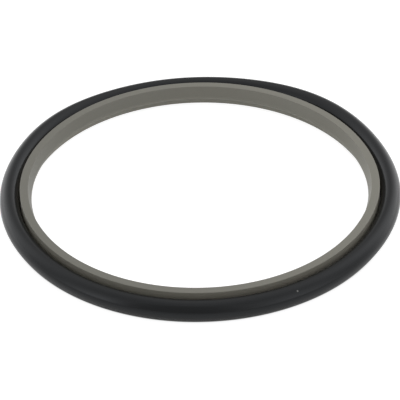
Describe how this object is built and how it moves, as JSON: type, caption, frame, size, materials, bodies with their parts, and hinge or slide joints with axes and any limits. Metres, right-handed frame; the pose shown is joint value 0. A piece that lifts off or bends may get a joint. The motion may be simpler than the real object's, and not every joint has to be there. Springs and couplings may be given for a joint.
{
  "type": "rod seal",
  "caption": "Rod seal for a hydraulic cylinder: a stepped slide ring of filled PTFE inside a rubber O-ring that presses it on the rod.",
  "frame": {"origin": "on the axis, at the level that both rings rest on, which is the slide ring's pressure side", "axes": "+Z along the axis of the rod, from the pressure side to the open-air side; X and Y are alike, since both rings are round"},
  "size_m": [0.1066, 0.1066, 0.0059],
  "materials": {
    "filled_ptfe": "turned, satin",
    "nitrile_rubber": "moulded, satin"
  },
  "bodies": {
    "root": {"slide_ring": "filled_ptfe", "o_ring": "nitrile_rubber"}
  },
  "joints": []
}
